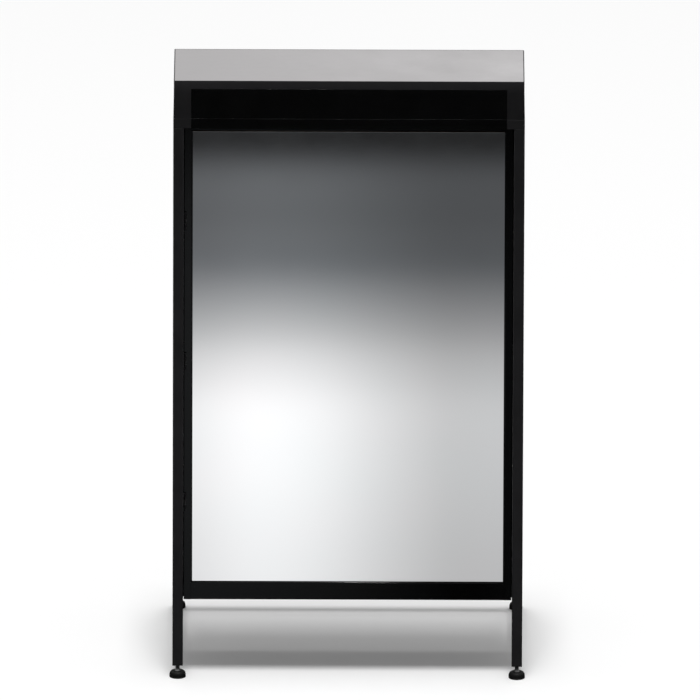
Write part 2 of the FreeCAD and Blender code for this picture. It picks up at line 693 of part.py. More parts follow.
def place_frame_leaf_screws():
    """Flush screws that hold the hinge leaves to the left side board."""
    depth = HINGE_DEPTH - HINGE_SCREW_SETBACK
    heights = [z + offset for z in HINGE_HEIGHTS for offset in HINGE_HOLE_OFFSETS]
    return [Screw(point(-INNER_X, depth, z), "x", -1, LEAF_SCREW) for z in heights]


def hinges(leaf_screws, leaf_rivets):
    """Lift-off hinges in front of the door's left edge: the lower knuckle is on the frame."""
    frame_leaves = []
    door_leaves = []
    pins = []
    clear = HINGE_RADIUS + HINGE_LEAF_CLEARANCE
    pin_length = 2 * HINGE_HALF - HINGE_PIN_STEP
    frame_x = (-INNER_X, -INNER_X + HINGE_LEAF)
    door_x = (-DOOR_X - HINGE_LEAF, -DOOR_X)
    for z in HINGE_HEIGHTS:
        bottom = z - HINGE_HALF
        top = z + HINGE_HALF
        lower = (bottom, bottom + HINGE_KNUCKLE)
        upper = (top - HINGE_KNUCKLE, top)
        full = (bottom, top)
        frame_leaf = joined(
            block(frame_x, (HINGE_DEPTH - HINGE_LEAF_LENGTH, HINGE_DEPTH - clear), full),
            block(frame_x, (HINGE_DEPTH - clear, HINGE_DEPTH), lower),
            rod(point(HINGE_X, HINGE_DEPTH, lower[0]), "z", HINGE_KNUCKLE, HINGE_RADIUS),
        )
        door_leaf = joined(
            block(door_x, (HINGE_DEPTH + clear, DOOR_BACK - HINGE_LEAF_SETBACK), full),
            block(door_x, (HINGE_DEPTH, HINGE_DEPTH + clear), upper),
            rod(point(HINGE_X, HINGE_DEPTH, upper[0]), "z", HINGE_KNUCKLE, HINGE_RADIUS),
        )
        start = point(HINGE_X, HINGE_DEPTH, bottom)
        frame_leaf = frame_leaf.cut([rod(start, "z", pin_length, HINGE_PIN_RADIUS)] + blanks(leaf_screws))
        bore = rod(start, "z", 2 * HINGE_HALF, HINGE_PIN_RADIUS + HINGE_PIN_CLEARANCE)
        door_leaf = door_leaf.cut([bore] + blanks(leaf_rivets))
        collar_start = point(HINGE_X, HINGE_DEPTH, z - HINGE_COLLAR_HALF)
        collar = rod(collar_start, "z", 2 * HINGE_COLLAR_HALF, HINGE_COLLAR_RADIUS)
        pins.append(joined(rod(start, "z", pin_length, HINGE_PIN_RADIUS), collar))
        frame_leaves.append(frame_leaf)
        door_leaves.append(door_leaf)
    save("hinge_frame_leaves", *frame_leaves)
    save("hinge_door_leaves", *door_leaves)
    save("hinge_pins", *pins)


def place_catch_screws():
    """Screws through the ears of the catch into the right side board."""
    depth = DOOR_BACK + STRIKE_THICKNESS + CONTACT_GAP + CATCH_DEPTH / 2
    heights = grown(CATCH_HEIGHTS, -CATCH_EAR_HEIGHT / 2)
    return [Screw(point(INNER_X - CATCH_EAR, depth, z), "x", 1, CATCH_SCREW) for z in heights]


def catch(catch_screws):
    front = DOOR_BACK + STRIKE_THICKNESS + CONTACT_GAP
    back = front + CATCH_DEPTH
    ear = block((INNER_X - CATCH_EAR, INNER_X), (front + CATCH_POLE, back), CATCH_HEIGHTS)
    middle = grown(CATCH_HEIGHTS, -CATCH_EAR_HEIGHT)
    body = block((INNER_X - CATCH_WIDTH, INNER_X), (front + CATCH_POLE, back), middle)
    pole_height = grown(middle, -CATCH_POLE_MARGIN)
    poles = []
    for offset in CATCH_POLE_X:
        end = INNER_X - offset
        poles.append(block((end - CATCH_POLE_WIDTH, end), (front, front + CATCH_POLE), pole_height))
    save("magnetic_catch", joined(ear, body, *poles).cut(blanks(catch_screws)))
    plate_x = grown((STILE_X, DOOR_X), -STRIKE_MARGIN)
    plate = block(plate_x, (DOOR_BACK, DOOR_BACK + STRIKE_THICKNESS), CATCH_HEIGHTS)
    save("strike_plate", softened(plate, "y", STRIKE_CORNER))


def bumpers():
    """Soft dots on the front edge of the bottom board that the door closes on."""
    dots = []
    for x in (-BUMPER_X, BUMPER_X):
        start = point(x, CARCASS_FRONT, LOWER_RAIL_TOP + BOARD / 2)
        dots.append(rod(start, "y", -(DOOR_REST_GAP - CONTACT_GAP), BUMPER_RADIUS))
    save("door_bumpers", *dots)


def main():
    os.makedirs("parts", exist_ok=True)
    hood_screws = place_hood_screws()
    panel_screws = place_panel_screws()
    carcass_screws = place_carcass_screws()
    back_screws = place_back_screws()
    leaf_screws = place_frame_leaf_screws()
    leaf_rivets = place_door_leaf_rivets()
    catch_screws = place_catch_screws()

    legs()
    header_rails(hood_screws, anchor_nuts())
    end_caps()
    side_rails(panel_screws)
    lower_rear_rail()
    soffit()
    leg_ends()
    feet()
    hood(hood_screws)
    fascia()
    save("hood_screws", *solids(hood_screws))
    boards(panel_screws, carcass_screws, back_screws, leaf_screws, catch_screws)
    save_pairs("panel_screws", solids(panel_screws))
    save_pairs("carcass_screws", solids(carcass_screws))
    save("back_panel_screws", *solids(back_screws))
    shelves()
    door_frame(leaf_rivets)
    mirror()
    hinges(leaf_screws, leaf_rivets)
    save("hinge_frame_screws", *solids(leaf_screws))
    save("hinge_door_rivets", *solids(leaf_rivets))
    catch(catch_screws)
    save("catch_screws", *solids(catch_screws))
    bumpers()


main()
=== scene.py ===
import json
import math
import bpy
import bmesh
from mathutils import Matrix, Vector


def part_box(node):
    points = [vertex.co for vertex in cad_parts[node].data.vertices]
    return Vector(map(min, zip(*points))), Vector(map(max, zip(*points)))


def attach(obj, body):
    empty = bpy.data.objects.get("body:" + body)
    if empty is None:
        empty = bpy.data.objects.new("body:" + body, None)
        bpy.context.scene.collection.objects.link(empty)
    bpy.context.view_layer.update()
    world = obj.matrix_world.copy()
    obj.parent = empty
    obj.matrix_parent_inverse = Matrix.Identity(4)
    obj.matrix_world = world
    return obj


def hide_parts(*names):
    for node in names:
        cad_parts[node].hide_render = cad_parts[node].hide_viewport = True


# Free-standing mirror cabinet. Metres, +Z up, the front faces -Y.

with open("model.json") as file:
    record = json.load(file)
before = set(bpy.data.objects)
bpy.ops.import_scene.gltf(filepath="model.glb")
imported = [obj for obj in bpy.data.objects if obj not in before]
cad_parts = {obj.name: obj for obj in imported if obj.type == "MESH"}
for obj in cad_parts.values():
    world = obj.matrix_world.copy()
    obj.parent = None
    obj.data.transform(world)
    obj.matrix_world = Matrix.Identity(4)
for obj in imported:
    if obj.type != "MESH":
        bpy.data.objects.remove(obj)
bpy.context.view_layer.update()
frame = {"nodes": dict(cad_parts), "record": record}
nodes = frame["nodes"]
slots = {part["node"]: part["material_slot"] for part in frame["record"]["subparts"]}

MM = 0.001


# Shader helpers


class Shader:
    """A material being built: a Principled shader fed by procedural patterns in object space."""

    def __init__(self, name):
        self.material = bpy.data.materials.new(name)
        self.material.use_nodes = True
        self.tree = self.material.node_tree
        self.bsdf = self.tree.nodes["Principled BSDF"]
        self.coords = self.tree.nodes.new("ShaderNodeTexCoord").outputs["Object"]

    def link(self, output, target):
        self.tree.links.new(output, target)

    def set(self, **values):
        """Sets the shader's own sockets: words are joined by underscores in place of spaces."""
        for name, value in values.items():
            self.bsdf.inputs[name.replace("_", " ")].default_value = value
        return self

    def stretched(self, scale):
        node = self.tree.nodes.new("ShaderNodeMapping")
        node.inputs["Scale"].default_value = scale
        self.link(self.coords, node.inputs["Vector"])
        return node.outputs["Vector"]

    def position(self, axis):
        node = self.tree.nodes.new("ShaderNodeSeparateXYZ")
        self.link(self.coords, node.inputs["Vector"])
        return node.outputs[axis]

    def noise(self, size, detail=2.0, stretch=None):
        """Noise whose features are about size metres across."""
        node = self.tree.nodes.new("ShaderNodeTexNoise")
        node.inputs["Scale"].default_value = 1 / size
        node.inputs["Detail"].default_value = detail
        self.link(self.stretched(stretch) if stretch else self.coords, node.inputs["Vector"])
        return node.outputs["Fac"]

    def cells(self, size):
        node = self.tree.nodes.new("ShaderNodeTexVoronoi")
        node.inputs["Scale"].default_value = 1 / size
        self.link(self.coords, node.inputs["Vector"])
        return node.outputs["Distance"]

    def spread(self, value, low, high, start=0.3, end=0.7):
        """Stretches a pattern's start to end over low to high."""
        node = self.tree.nodes.new("ShaderNodeMapRange")
        node.inputs["From Min"].default_value = start
        node.inputs["From Max"].default_value = end
        node.inputs["To Min"].default_value = low
        node.inputs["To Max"].default_value = high
        self.link(value, node.inputs["Value"])
        return node.outputs["Result"]

    def blend(self, value, first, second, start=0.3, end=0.7):
        """A colour between two colours, by a pattern."""
        node = self.tree.nodes.new("ShaderNodeMix")
        node.data_type = "RGBA"
        node.inputs["A"].default_value = (*first, 1)
        node.inputs["B"].default_value = (*second, 1)
        self.link(self.spread(value, 0, 1, start, end), node.inputs["Factor"])
        return node.outputs["Result"]

    def over(self, colour, value, second, start, end):
        """Lays a second colour over a colour where a pattern runs from start to end."""
        node = self.tree.nodes.new("ShaderNodeMix")
        node.data_type = "RGBA"
        self.link(colour, node.inputs["A"])
        node.inputs["B"].default_value = (*second, 1)
        self.link(self.spread(value, 0, 1, start, end), node.inputs["Factor"])
        return node.outputs["Result"]

    def colour(self, output):
        self.link(output, self.bsdf.inputs["Base Color"])
        return self

    def roughness(self, value, low, high):
        self.link(self.spread(value, low, high), self.bsdf.inputs["Roughness"])
        return self

    def bump(self, *layers):
        """Layers of (pattern, height in metres), one on top of the other."""
        normal = None
        for value, height in layers:
            node = self.tree.nodes.new("ShaderNodeBump")
            node.inputs["Strength"].default_value = 1.0
            node.inputs["Distance"].default_value = height
            self.link(value, node.inputs["Height"])
            if normal:
                self.link(normal, node.inputs["Normal"])
            normal = node.outputs["Normal"]
        self.link(normal, self.bsdf.inputs["Normal"])
        return self


def grey(value, warmth=0.0):
    return (value * (1 + warmth), value, value * (1 - warmth))


def coat_black(tone):
    """A black that leans a little to violet."""
    return (tone, tone * 0.95, tone * 1.1)


# Materials, one for each material slot of the record


def powder_coat(name, tone, rough, specular, painted_light_drifts=()):
    """Matt black powder coat: an orange-peel skin with fine specks. Each drift paints light or shade
    into the coat: an axis, the span in metres over which the coat changes, and the tone it would reach,
    as a factor."""
    s = Shader(name)
    coat = s.blend(s.noise(0.06), coat_black(tone * 0.85), coat_black(tone * 1.15))
    # painted light: each drift lightens or darkens the coat along one axis
    for axis, start, end, change in painted_light_drifts:
        coat = s.over(coat, s.position(axis), coat_black(tone * change), start, end)
    s.colour(s.over(coat, s.noise(0.0011, 3.0), grey(tone * 2.6), 0.66, 0.8))
    s.set(Specular_IOR_Level=specular)
    s.roughness(s.noise(0.035, 3.0), rough - 0.04, rough + 0.05)
    return s.bump((s.noise(0.0022), 0.00009), (s.noise(0.0006), 0.00003)).material


def satin_laminate():
    """Light grey laminate with a faint mottle and fine matt grain, and painted light that makes it
    lighter toward the right.
    """
    s = Shader("top_grey")
    # painted light: the top is lighter toward the right, where more light falls
    lit_toward_right = s.blend(s.position("X"), (0.361, 0.352, 0.355), (0.468, 0.457, 0.462), -0.3, 0.33)
    base = s.over(lit_toward_right, s.noise(0.12, 4.0), (0.372, 0.363, 0.366), 0.35, 0.8)
    s.colour(s.over(base, s.noise(0.0009, 2.0), grey(0.3, 0.01), 0.62, 0.9))
    s.set(Specular_IOR_Level=0.35)
    s.roughness(s.noise(0.02, 3.0), 0.42, 0.52)
    return s.bump((s.noise(0.0007), 0.00002)).material


def gloss_plastic():
    s = Shader("fascia_gloss")
    s.colour(s.blend(s.noise(0.05), grey(0.0017, -0.05), grey(0.0024, -0.05)))
    s.set(Specular_IOR_Level=0.25)
    s.roughness(s.noise(0.03, 4.0), 0.1, 0.16)
    return s.bump((s.noise(0.09), 0.00004)).material


def melamine():
    """Black melamine-faced board, with its wood-pore print."""
    s = Shader("board_black")
    pores = s.noise(0.002, 4.0, stretch=(1.0, 1.0, 0.07))
    s.colour(s.blend(pores, grey(0.012), grey(0.021)))
    s.set(Specular_IOR_Level=0.3)
    s.roughness(pores, 0.42, 0.6)
    return s.bump((pores, 0.00005)).material


def hardboard(name, dark, light):
    s = Shader(name)
    fibres = s.noise(0.0016, 5.0, stretch=(1.0, 1.0, 0.5))
    s.colour(s.over(s.blend(s.noise(0.02, 4.0), dark, light), fibres, dark, 0.55, 0.75))
    s.set(Specular_IOR_Level=0.25)
    s.roughness(fibres, 0.6, 0.75)
    return s.bump((fibres, 0.00008)).material


def clear_glass():
    s = Shader("shelf_glass")
    s.set(Base_Color=(0.86, 0.95, 0.92, 1), Transmission_Weight=1.0, IOR=1.52, Roughness=0.02)
    return s.bump((s.noise(0.08), 0.00001)).material


def silvered_glass():
    """Satin silvered mirror: a fine grain in its shine, with faint wiped smudges."""
    s = Shader("mirror_silver")
    s.colour(s.blend(s.noise(0.3, 2.0), (0.89, 0.905, 0.915), (0.915, 0.91, 0.92)))
    s.set(Metallic=1.0)
    s.roughness(s.noise(0.05, 5.0), 0.048, 0.058)
    return s.bump((s.noise(0.0016, 3.0), 0.000006)).material


def foam_tape():
    s = Shader("bond_tape")
    s.colour(s.blend(s.cells(0.0009), grey(0.5), grey(0.62)))
    s.set(Roughness=0.85)
    return s.bump((s.cells(0.0006), 0.0001)).material


def anodised():
    """Semi-gloss black anodised profile with drawn lines along its length."""
    s = Shader("door_black")
    lines = s.noise(0.0009, 3.0, stretch=(1.0, 1.0, 0.01))
    s.colour(s.blend(lines, grey(0.0004), grey(0.0009)))
    s.set(Specular_IOR_Level=0.5)
    s.roughness(s.noise(0.04, 3.0), 0.13, 0.17)
    return s.bump((lines, 0.000015)).material


def metal(name, dark, light, rough):
    """Bare or plated metal with fine scratches and patchy shine."""
    s = Shader(name)
    s.colour(s.blend(s.noise(0.006, 4.0), dark, light))
    s.set(Metallic=1.0)
    s.roughness(s.noise(0.0072, 4.0), rough - 0.07, rough + 0.08)
    return s.bump((s.noise(0.0012, 3.0), 0.00002)).material


def moulded(name, tone, rough, specular=0.4):
    """Moulded plastic with a fine spark-eroded texture."""
    s = Shader(name)
    s.colour(s.blend(s.noise(0.01, 3.0), grey(tone * 0.85), grey(tone * 1.2)))
    s.set(Specular_IOR_Level=specular)
    s.roughness(s.noise(0.004, 3.0), rough - 0.05, rough + 0.06)
    return s.bump((s.cells(0.0005), 0.00004)).material


def silicone():
    s = Shader("bumper_clear")
    s.colour(s.blend(s.noise(0.003), grey(0.6), grey(0.7)))
    s.set(Roughness=0.35, Subsurface_Weight=0.3, Subsurface_Radius=(0.002, 0.002, 0.002))
    return s.bump((s.noise(0.001), 0.00003)).material


MATERIALS = {
    # frame_black: painted shade, the frame darkens toward the top
    "frame_black": powder_coat("frame_black", 0.0099, 0.50, 0.4, [("Z", 0.5, 1.7, 0.5)]),
    # hood_black: painted shade that darkens the hood toward the right, and a painted highlight that
    # lightens it toward its top edge
    "hood_black": powder_coat(
        "hood_black", 0.0081, 0.48, 0.4, [("X", -0.3, 0.9, 0.5), ("Z", 1.172, 1.25, 4.0)]
    ),
    "top_grey": satin_laminate(),
    "fascia_gloss": gloss_plastic(),
    "board_black": melamine(),
    "back_board": hardboard("back_board", (0.016, 0.015, 0.014), (0.028, 0.027, 0.026)),
    "shelf_glass": clear_glass(),
    "mirror_silver": silvered_glass(),
    "mirror_board": hardboard("mirror_board", (0.09, 0.05, 0.028), (0.17, 0.1, 0.06)),
    "bond_tape": foam_tape(),
    "door_black": anodised(),
    "key_alloy": metal("key_alloy", grey(0.42), grey(0.55), 0.45),
    "hinge_black": powder_coat("hinge_black", 0.008, 0.42, 0.25),
    "plated_steel": metal("plated_steel", grey(0.1), grey(0.2), 0.36),
    "screw_black": metal("screw_black", grey(0.02), grey(0.045), 0.38),
    "foot_black": moulded("foot_black", 0.006, 0.46, 0.12),
    "plug_black": moulded("plug_black", 0.008, 0.5, 0.2),
    "catch_black": moulded("catch_black", 0.014, 0.4),
    "bumper_clear": silicone(),
    "pin_nickel": metal("pin_nickel", (0.5, 0.48, 0.45), (0.62, 0.6, 0.56), 0.25),
}


# Edges: every sheet, board and bar gets the small round that its making leaves

EDGE_ROUNDS = {
    "frame_black": 0.25 * MM,
    "hood_black": 0.6 * MM,
    "top_grey": 0.5 * MM,
    "fascia_gloss": 0.1 * MM,
    "board_black": 0.5 * MM,
    "back_board": 0.3 * MM,
    "shelf_glass": 0.6 * MM,
    "mirror_silver": 0.5 * MM,
    "door_black": 0.3 * MM,
    "hinge_black": 0.12 * MM,
    "catch_black": 0.3 * MM,
    "plug_black": 0.3 * MM,
}
ROUND_ANGLE = math.radians(35)


def dress(name, node):
    slot = slots[name]
    node.data.materials.clear()
    node.data.materials.append(MATERIALS[slot])
    if slot in EDGE_ROUNDS:
        weld = node.modifiers.new("weld", "WELD")
        weld.merge_threshold = 0.001 * MM
        bevel = node.modifiers.new("edge_round", "BEVEL")
        bevel.width = EDGE_ROUNDS[slot]
        bevel.segments = 2
        bevel.limit_method = "ANGLE"
        bevel.angle_limit = ROUND_ANGLE
        bevel.harden_normals = True


for node_name, cad_node in nodes.items():
    dress(node_name, cad_node)


# Mesh helpers


def finished(name, mesh, body, slot):
    """Makes a piece of a bmesh, on a body, in a material slot's finish."""
    data = bpy.data.meshes.new(name)
    bmesh.ops.recalc_face_normals(mesh, faces=mesh.faces)
    for face in mesh.faces:
        face.smooth = True
    mesh.to_mesh(data)
    mesh.free()
    data.materials.append(MATERIALS[slot])
    piece = bpy.data.objects.new(name, data)
    bpy.context.scene.collection.objects.link(piece)
    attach(piece, body)
    return piece


def centre_of(box):
    return (box[0] + box[1]) / 2


def lathe(mesh, centre, outline, steps):
    """Turns an outline of (radius, height) about the upright line through centre."""
    rings = []
    for radius, height in outline:
        if radius < 1e-6:
            rings.append([mesh.verts.new((centre.x, centre.y, height))])
            continue
        ring = []
        for step in range(steps):
            angle = math.tau * step / steps
            ring.append(mesh.verts.new((
                centre.x + radius * math.cos(angle), centre.y + radius * math.sin(angle), height
            )))
        rings.append(ring)
    for lower, upper in zip(rings, rings[1:]):
        for step in range(steps):
            corners = [
                lower[step % len(lower)], lower[(step + 1) % len(lower)],
                upper[(step + 1) % len(upper)], upper[step % len(upper)],
            ]
            unique = list(dict.fromkeys(corners))
            if len(unique) > 2:
                mesh.faces.new(unique)


def arc(centre_r, centre_z, radius_r, radius_z, start, end, steps):
    """Points of an elliptical arc in the outline plane, angles in degrees."""
    points = []
    for step in range(steps + 1):
        angle = math.radians(start + (end - start) * step / steps)
        points.append((centre_r + radius_r * math.cos(angle), centre_z + radius_z * math.sin(angle)))
    return points


# Levelling feet

SOLE_HOLLOW = 0.4 * MM
SOLE_RIM = 4.0 * MM
SOLE_ROUND = 1.0 * MM
WAIST_HEIGHT = 3.2 * MM
GROOVE_DEPTH = 0.4 * MM
GROOVE_SLOPE = 0.2 * MM
GROOVE_WIDTH = 1.0 * MM
CROWN_SHARE = 0.66
SEAT_RADIUS = 7.4 * MM
SEAT_CHAMFER = 0.4 * MM
SEAT_DEPTH = 0.5 * MM
BASE_STEPS = 72


def foot_base(corner):
    """A domed nylon base with a flat crown, a shallow groove round its waist and a rounded sole."""
    node = "foot_base_" + corner
    low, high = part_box(node)
    radius = (high.x - low.x) / 2
    rim = radius - SOLE_RIM
    waist = low.z + WAIST_HEIGHT
    groove = radius - GROOVE_DEPTH
    outline = [(0, low.z + SOLE_HOLLOW), (rim, low.z + SOLE_HOLLOW), (rim + SOLE_HOLLOW, low.z)]
    outline += arc(radius - SOLE_ROUND, low.z + SOLE_ROUND, SOLE_ROUND, SOLE_ROUND, -90, 0, 4)
    outline += [(radius, waist), (groove, waist + GROOVE_SLOPE)]
    outline.append((groove, waist + GROOVE_WIDTH - GROOVE_SLOPE))
    crown = CROWN_SHARE * radius
    shoulder = waist + GROOVE_WIDTH
    outline += arc(crown, shoulder, radius - crown, high.z - shoulder, 0, 90, 12)
    seat = high.z - SEAT_DEPTH
    outline += [(SEAT_RADIUS, high.z), (SEAT_RADIUS - SEAT_CHAMFER, seat), (0, seat)]
    mesh = bmesh.new()
    lathe(mesh, centre_of((low, high)), outline, BASE_STEPS)
    piece = finished("levelling_foot_" + corner, mesh, "foot_" + corner, "foot_black")
    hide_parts(node)


THREAD_RADIUS = 3.95 * MM
THREAD_DEPTH = 0.68 * MM
THREAD_PITCH = 1.25 * MM
THREAD_RUNOUT = 1.2 * MM
THREAD_START = 4.0 * MM
THREAD_STEPS = 24
ROWS_PER_TURN = 8
# The collar's radius and its height above the base, in millimetres
COLLAR = ((0, -0.8), (6.5, -0.8), (6.5, 0.5), (6.2, 0.9), (4.3, 3.8), (3.95, 4.2), (3.0, 4.4), (0, 4.4))
COLLAR_STEPS = 48


def tube_of_rings(mesh, rings):
    """Joins rings of as many corners each into a tube, closed at both ends."""
    for lower, upper in zip(rings, rings[1:]):
        for step in range(len(lower)):
            after = (step + 1) % len(lower)
            mesh.faces.new((lower[step], lower[after], upper[after], upper[step]))
    mesh.faces.new(rings[-1])
    mesh.faces.new(list(reversed(rings[0])))


def threaded_stud(corner):
    """The stud with its conical collar and its real thread, run out smooth at both ends."""
    node = "foot_stud_" + corner
    low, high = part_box(node)
    base_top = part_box("foot_base_" + corner)[1].z
    centre = centre_of((low, high))
    start = base_top + THREAD_START
    end = high.z
    rows = int((end - start) / THREAD_PITCH * ROWS_PER_TURN)
    mesh = bmesh.new()
    rings = []
    for row in range(rows + 1):
        z = start + (end - start) * row / rows
        fade_end = min(1.0, (end - z) / THREAD_RUNOUT)
        fade_start = min(1.0, (z - start) / THREAD_RUNOUT)
        ring = []
        for step in range(THREAD_STEPS):
            turn = step / THREAD_STEPS
            phase = ((z - start) / THREAD_PITCH - turn) % 1.0
            groove = 1 - abs(2 * phase - 1)
            radius = THREAD_RADIUS - THREAD_DEPTH * (groove * fade_end * fade_start + (1 - fade_end))
            angle = math.tau * turn
            ring.append(mesh.verts.new((
                centre.x + radius * math.cos(angle), centre.y + radius * math.sin(angle), z
            )))
        rings.append(ring)
    tube_of_rings(mesh, rings)
    collar = [(radius * MM, base_top + rise * MM) for radius, rise in COLLAR]
    lathe(mesh, centre, collar, COLLAR_STEPS)
    piece = finished("threaded_stud_" + corner, mesh, "foot_" + corner, "plated_steel")
    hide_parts(node)


for foot in ("front_left", "front_right", "rear_left", "rear_right"):
    foot_base(foot)
    threaded_stud(foot)


# Fillet welds in the corners of the tube frame, painted over with it

BEAD_RADIUS = 2.2 * MM
BEAD_RIPPLE = 1.7 * MM
BEAD_INSET = 0.8 * MM
BEAD_STEP = 0.3 * MM
BEAD_AROUND = 14
BEAD_RISE = 0.1
BEAD_TIP = 0.04


def weld_bead(mesh, start, end):
    """A rippled bead laid along the corner between two tubes, rounded at both ends."""
    line = end - start
    along = line.normalized()
    start = start + along * BEAD_INSET
    length = line.length - 2 * BEAD_INSET
    across = along.orthogonal().normalized()
    other = along.cross(across)
    rows = int(length / BEAD_STEP)
    rings = []
    for row in range(rows + 1):
        reach = length * row / rows
        to_end = min(reach, length - reach)
        rounding = math.sqrt(max(BEAD_TIP, 1 - max(0.0, 1 - to_end / BEAD_RADIUS) ** 2))
        ripple = abs(math.sin(math.pi * reach / BEAD_RIPPLE))
        radius = BEAD_RADIUS * rounding * (1 - BEAD_RISE + BEAD_RISE * ripple)
        ring = []
        for step in range(BEAD_AROUND):
            angle = math.tau * step / BEAD_AROUND
            spoke = across * math.cos(angle) + other * math.sin(angle)
            ring.append(mesh.verts.new(start + along * reach + spoke * radius))
        rings.append(ring)
    tube_of_rings(mesh, rings)


def weld_lines():
    """Start and end of each weld on the right side of the frame."""
    rung_low, rung_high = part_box("lower_side_rail_right")
    leg_low, leg_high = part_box("rear_leg_right")
    cross_low, cross_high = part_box("lower_rear_rail")
    header_low, header_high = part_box("header_rail_rear")
    inner, outer = rung_low.x, rung_high.x
    tube = outer - inner
    depth, height = leg_high.y - leg_low.y, leg_high.z - leg_low.z
    rake = (depth - tube * math.hypot(1, (depth - tube) / height)) / height
    top_y = rung_high.y - rake * tube
    for y, z in ((rung_low.y, rung_low.z), (top_y, rung_high.z), (rung_high.y, rung_low.z)):
        yield Vector((inner, y, z)), Vector((outer, y, z))
    for z in (cross_low.z, cross_high.z):
        yield Vector((inner, cross_low.y, z)), Vector((inner, cross_high.y, z))
    yield Vector((inner, header_low.y, header_low.z)), Vector((inner, header_high.y, header_low.z))


def weld_beads():
    mesh = bmesh.new()
    for start, end in weld_lines():
        for side in (1, -1):
            flip = Vector((side, 1, 1))
            weld_bead(mesh, start * flip, end * flip)
    finished("weld_beads", mesh, "frame", "frame_black")


weld_beads()


# Stage: pale floor, soft light, and glowing cards that only the mirror and the door frame see

FRONT_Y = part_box("front_leg_left")[0].y
MIRROR_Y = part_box("mirror_glass")[0].y
FLOOR_REACH = 60.0
CARD_REACH = 25.0


def flat_sheet(name, reach, z):
    data = bpy.data.meshes.new(name)
    corners = [(-reach, -reach, z), (reach, -reach, z), (reach, reach, z), (-reach, reach, z)]
    data.from_pydata(corners, [], [(0, 1, 2, 3)])
    sheet = bpy.data.objects.new(name, data)
    bpy.context.scene.collection.objects.link(sheet)
    return sheet


def floor():
    sheet = flat_sheet("floor", FLOOR_REACH, 0.0)
    s = Shader("floor_white")
    s.set(Base_Color=(0.9, 0.9, 0.9, 1), Roughness=0.9, Specular_IOR_Level=0.0)
    sheet.data.materials.append(s.material)
    sheet.visible_glossy = False


# A card's brightness by the distance in front of the mirror, and across from the left, in metres
FALL_SPAN = (0.3, 4.4)
SIDE_SPAN = (-0.4, 0.4)
# The dim stops at 3.31 and 3.45 m paint the shade under the header onto the top of the mirror.
MIRROR_FALL = (
    (0.60, 0.80), (1.40, 0.93), (1.72, 0.87), (2.05, 0.56), (2.45, 0.2), (2.78, 0.12), (3.13, 0.11),
    (3.31, 0.012), (3.45, 0.012), (4.20, 0.35),
)
MIRROR_SIDES = ((-0.34, 0.83), (-0.17, 1.0), (0.0, 0.84), (0.16, 0.6), (0.30, 0.56))
MIRROR_GLOW = 1.17
# The door frame reflects less and less to the right. The last stops of its fall, from 3.24 m on, paint
# the shade under the header onto the top of the door frame.
FRAME_FALL = ((0.40, 0.13), (0.80, 0.16), (2.60, 0.19), (3.08, 0.16), (3.24, 0.03), (3.35, 0.0))
FRAME_SIDES = ((-0.34, 1.0), (0.0, 0.55), (0.17, 0.1), (0.25, 0.0), (0.32, 0.2))
FRAME_GLOW = 1.5
COOL_BELOW = 0.6
COOL_SHIFT = 0.06


def profile(tree, value, stops, span):
    """A curve through (position, brightness) stops, a little bluer where it is dim."""
    low, high = span
    place = tree.nodes.new("ShaderNodeMapRange")
    place.inputs["From Min"].default_value = low
    place.inputs["From Max"].default_value = high
    tree.links.new(value, place.inputs["Value"])
    ramp = tree.nodes.new("ShaderNodeValToRGB")
    ramp.color_ramp.interpolation = "CARDINAL"
    marks = ramp.color_ramp.elements
    while len(marks) < len(stops):
        marks.new(0.5)
    for mark, (position, level) in zip(marks, stops):
        cool = 1 - min(1, level / COOL_BELOW)
        mark.position = (position - low) / (high - low)
        mark.color = (level * (1 - COOL_SHIFT * cool), level, level * (1 + COOL_SHIFT * cool), 1)
    tree.links.new(place.outputs["Result"], ramp.inputs["Fac"])
    return ramp.outputs["Color"]


def reflector(name, height, receivers, fall_stops, side_stops, strength):
    """A glowing card on the floor that lights only the receivers, and only by reflection."""
    sheet = flat_sheet(name, CARD_REACH, height)
    sheet.visible_camera = False
    sheet.visible_diffuse = False
    sheet.visible_transmission = False
    sheet.visible_volume_scatter = False
    sheet.visible_shadow = False
    lit = bpy.data.collections.new(name + "_receivers")
    for receiver in receivers:
        lit.objects.link(nodes[receiver])
    sheet.light_linking.receiver_collection = lit
    material = bpy.data.materials.new(name)
    material.use_nodes = True
    tree = material.node_tree
    tree.nodes.clear()
    place = tree.nodes.new("ShaderNodeSeparateXYZ")
    tree.links.new(tree.nodes.new("ShaderNodeNewGeometry").outputs["Position"], place.inputs["Vector"])
    ahead = tree.nodes.new("ShaderNodeMath")
    ahead.operation = "SUBTRACT"
    ahead.inputs[0].default_value = MIRROR_Y
    tree.links.new(place.outputs["Y"], ahead.inputs[1])
    fall = profile(tree, ahead.outputs[0], fall_stops, FALL_SPAN)
    sides = profile(tree, place.outputs["X"], side_stops, SIDE_SPAN)
    both = tree.nodes.new("ShaderNodeVectorMath")
    both.operation = "MULTIPLY"
    tree.links.new(fall, both.inputs[0])
    tree.links.new(sides, both.inputs[1])
    glow = tree.nodes.new("ShaderNodeEmission")
    glow.inputs["Strength"].default_value = strength
    tree.links.new(both.outputs[0], glow.inputs["Color"])
    sheer = tree.nodes.new("ShaderNodeAddShader")
    tree.links.new(glow.outputs[0], sheer.inputs[0])
    tree.links.new(tree.nodes.new("ShaderNodeBsdfTransparent").outputs[0], sheer.inputs[1])
    out = tree.nodes.new("ShaderNodeOutputMaterial")
    tree.links.new(sheer.outputs[0], out.inputs["Surface"])
    sheet.data.materials.append(material)


SKY_LEVEL = 0.385
GLOSSY_SKY_LOW = 0.012
GLOSSY_SKY_HIGH = 1.1
GLOSSY_SKY_FULL = 0.9


